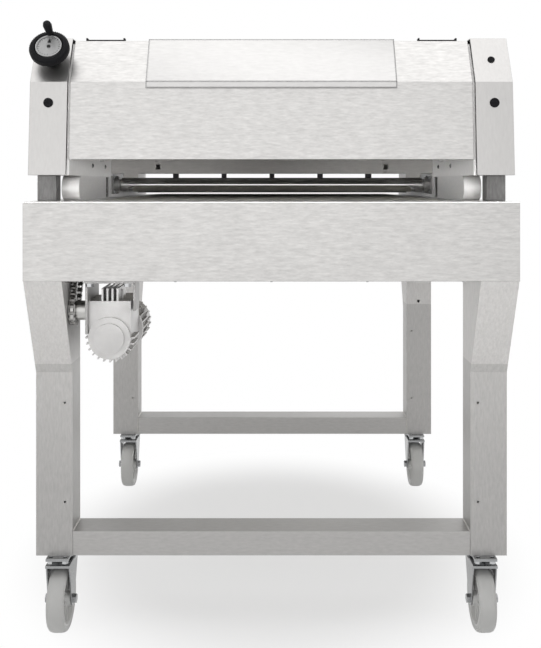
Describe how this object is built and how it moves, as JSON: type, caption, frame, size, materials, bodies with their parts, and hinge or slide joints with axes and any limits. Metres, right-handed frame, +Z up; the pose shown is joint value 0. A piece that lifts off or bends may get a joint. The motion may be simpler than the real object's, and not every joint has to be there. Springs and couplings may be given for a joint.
{
  "type": "dough moulder",
  "caption": "Free-standing dough moulder: hopper lid, laminating rollers with a gap handwheel, conveyor under a pressure board, and a wheeled square-tube stand.",
  "frame": {"origin": "on the floor, below the middle of the stand", "axes": "+Z up, +X to the right seen from the front, -Y to the front"},
  "size_m": [0.93, 1.14, 1.201],
  "materials": {
    "brushed_frame_steel": "fine brushed",
    "brushed_sheet_steel": "fine brushed",
    "polished_steel": "polished",
    "zinc_plated_steel": "zinc plated",
    "grey_wheel_rubber": "smooth matt",
    "belt_cloth": "woven",
    "white_roller_plastic": "non-stick satin",
    "pressure_board_plastic": "dark satin",
    "black_plastic": "moulded",
    "cast_aluminium": "cast and painted"
  },
  "bodies": {
    "root": {"leg_front_left": "brushed_frame_steel", "leg_front_right": "brushed_frame_steel", "leg_rear_left": "brushed_frame_steel", "leg_rear_right": "brushed_frame_steel", "crossbar_front": "brushed_frame_steel", "crossbar_rear": "brushed_frame_steel", "chassis_frame": "brushed_frame_steel", "apron_front": "brushed_sheet_steel", "apron_rear": "brushed_sheet_steel", "skirt_left": "brushed_sheet_steel", "skirt_right": "brushed_sheet_steel", "deck_plate": "brushed_sheet_steel", "side_box_left": "brushed_sheet_steel", "side_box_right": "brushed_sheet_steel", "head_cover": "brushed_sheet_steel", "corner_posts": "brushed_sheet_steel", "gearmotor_bracket": "brushed_sheet_steel", "belt_frame": "brushed_sheet_steel", "cross_beams": "brushed_sheet_steel", "head_plate_left": "brushed_sheet_steel", "head_plate_right": "brushed_sheet_steel", "side_rails": "polished_steel", "belt_bed": "polished_steel", "lid_hinge": "polished_steel", "hopper_chute": "polished_steel", "scraper_blade": "polished_steel", "caster_head_front_left": "zinc_plated_steel", "caster_head_front_right": "zinc_plated_steel", "caster_head_rear_left": "zinc_plated_steel", "caster_head_rear_right": "zinc_plated_steel", "coil_bearings": "zinc_plated_steel", "drive_chains": "zinc_plated_steel", "lower_belt": "belt_cloth", "pressure_board": "pressure_board_plastic", "hole_plugs": "black_plastic", "grip_edges": "black_plastic", "gearbox": "cast_aluminium", "motor_body": "cast_aluminium", "fan_cowl": "cast_aluminium"},
    "fixed_roller": {"fixed_roller": "white_roller_plastic", "fixed_roller_gear": "zinc_plated_steel"},
    "movable_roller": {"movable_roller": "white_roller_plastic", "movable_roller_gear": "zinc_plated_steel"},
    "carriage": {"roller_carriage": "zinc_plated_steel"},
    "front_belt_roller": {"front_belt_roller": "polished_steel"},
    "rear_belt_roller": {"rear_belt_roller": "polished_steel"},
    "coiling_roller": {"coiling_roller": "polished_steel"},
    "output_sprocket": {"output_sprocket": "polished_steel"},
    "handwheel": {"handwheel": "black_plastic", "dial_face": "polished_steel"},
    "crank_grip": {"crank_grip": "black_plastic"},
    "hopper_lid": {"hopper_lid": "brushed_sheet_steel"},
    "fork_front_left": {"caster_fork_front_left": "zinc_plated_steel"},
    "wheel_front_left": {"caster_wheel_front_left": "grey_wheel_rubber"},
    "fork_front_right": {"caster_fork_front_right": "zinc_plated_steel"},
    "wheel_front_right": {"caster_wheel_front_right": "grey_wheel_rubber"},
    "fork_rear_left": {"caster_fork_rear_left": "zinc_plated_steel"},
    "wheel_rear_left": {"caster_wheel_rear_left": "grey_wheel_rubber"},
    "fork_rear_right": {"caster_fork_rear_right": "zinc_plated_steel"},
    "wheel_rear_right": {"caster_wheel_rear_right": "grey_wheel_rubber"}
  },
  "joints": [
    {"name": "swivel_front_left", "type": "hinge", "parent": "root", "child": "fork_front_left", "pos_m": [-0.42, -0.436, 0.138], "axis": [0, 0, 1], "continuous": true},
    {"name": "roll_front_left", "type": "hinge", "parent": "fork_front_left", "child": "wheel_front_left", "pos_m": [-0.42, -0.451, 0.0625], "axis": [1, 0, 0], "continuous": true},
    {"name": "swivel_front_right", "type": "hinge", "parent": "root", "child": "fork_front_right", "pos_m": [0.42, -0.436, 0.138], "axis": [0, 0, 1], "continuous": true},
    {"name": "roll_front_right", "type": "hinge", "parent": "fork_front_right", "child": "wheel_front_right", "pos_m": [0.42, -0.451, 0.0625], "axis": [1, 0, 0], "continuous": true},
    {"name": "swivel_rear_left", "type": "hinge", "parent": "root", "child": "fork_rear_left", "pos_m": [-0.42, 0.436, 0.138], "axis": [0, 0, 1], "continuous": true},
    {"name": "roll_rear_left", "type": "hinge", "parent": "fork_rear_left", "child": "wheel_rear_left", "pos_m": [-0.42, 0.421, 0.0625], "axis": [1, 0, 0], "continuous": true},
    {"name": "swivel_rear_right", "type": "hinge", "parent": "root", "child": "fork_rear_right", "pos_m": [0.42, 0.436, 0.138], "axis": [0, 0, 1], "continuous": true},
    {"name": "roll_rear_right", "type": "hinge", "parent": "fork_rear_right", "child": "wheel_rear_right", "pos_m": [0.42, 0.421, 0.0625], "axis": [1, 0, 0], "continuous": true},
    {"name": "belt_drive_spin", "type": "hinge", "parent": "root", "child": "front_belt_roller", "pos_m": [0, -0.4, 0.826], "axis": [1, 0, 0], "continuous": true},
    {"name": "fixed_roller_spin", "type": "hinge", "parent": "root", "child": "fixed_roller", "pos_m": [0, -0.36084, 1.06093], "axis": [1, 0, 0], "continuous": true},
    {"name": "rear_belt_roller_spin", "type": "hinge", "parent": "root", "child": "rear_belt_roller", "pos_m": [0, 0.5, 0.826], "axis": [1, 0, 0], "continuous": true},
    {"name": "coiling_roller_spin", "type": "hinge", "parent": "root", "child": "coiling_roller", "pos_m": [0, -0.053, 0.887], "axis": [1, 0, 0], "continuous": true},
    {"name": "output_sprocket_spin", "type": "hinge", "parent": "root", "child": "output_sprocket", "pos_m": [0, -0.4883, 0.643], "axis": [1, 0, 0], "continuous": true},
    {"name": "carriage_slide", "type": "slide", "parent": "root", "child": "carriage", "axis": [0, 0.8777, -0.4791], "range_m": [-0.005, 0.012]},
    {"name": "movable_roller_spin", "type": "hinge", "parent": "carriage", "child": "movable_roller", "pos_m": [0, -0.27657, 1.01494], "axis": [1, 0, 0], "continuous": true},
    {"name": "handwheel_turn", "type": "hinge", "parent": "root", "child": "handwheel", "pos_m": [-0.426, -0.52322, 1.14957], "axis": [0, -0.8777, 0.4791], "range_deg": [-301, 721]},
    {"name": "crank_grip_spin", "type": "hinge", "parent": "handwheel", "child": "crank_grip", "pos_m": [-0.426, -0.51723, 1.17934], "axis": [0, -0.8777, 0.4791], "continuous": true},
    {"name": "lid_open", "type": "hinge", "parent": "root", "child": "hopper_lid", "pos_m": [0, -0.1955, 1.182], "axis": [-1, 0, 0], "range_deg": [0, 100]}
  ],
  "couplings": [
    {"joint": "fixed_roller_spin", "follows": "belt_drive_spin", "ratio": 1},
    {"joint": "rear_belt_roller_spin", "follows": "belt_drive_spin", "ratio": 1},
    {"joint": "coiling_roller_spin", "follows": "belt_drive_spin", "ratio": 1},
    {"joint": "output_sprocket_spin", "follows": "belt_drive_spin", "ratio": 1},
    {"joint": "movable_roller_spin", "follows": "belt_drive_spin", "ratio": -1},
    {"joint": "handwheel_turn", "follows": "carriage_slide", "rad_per_m": 1047.2}
  ]
}
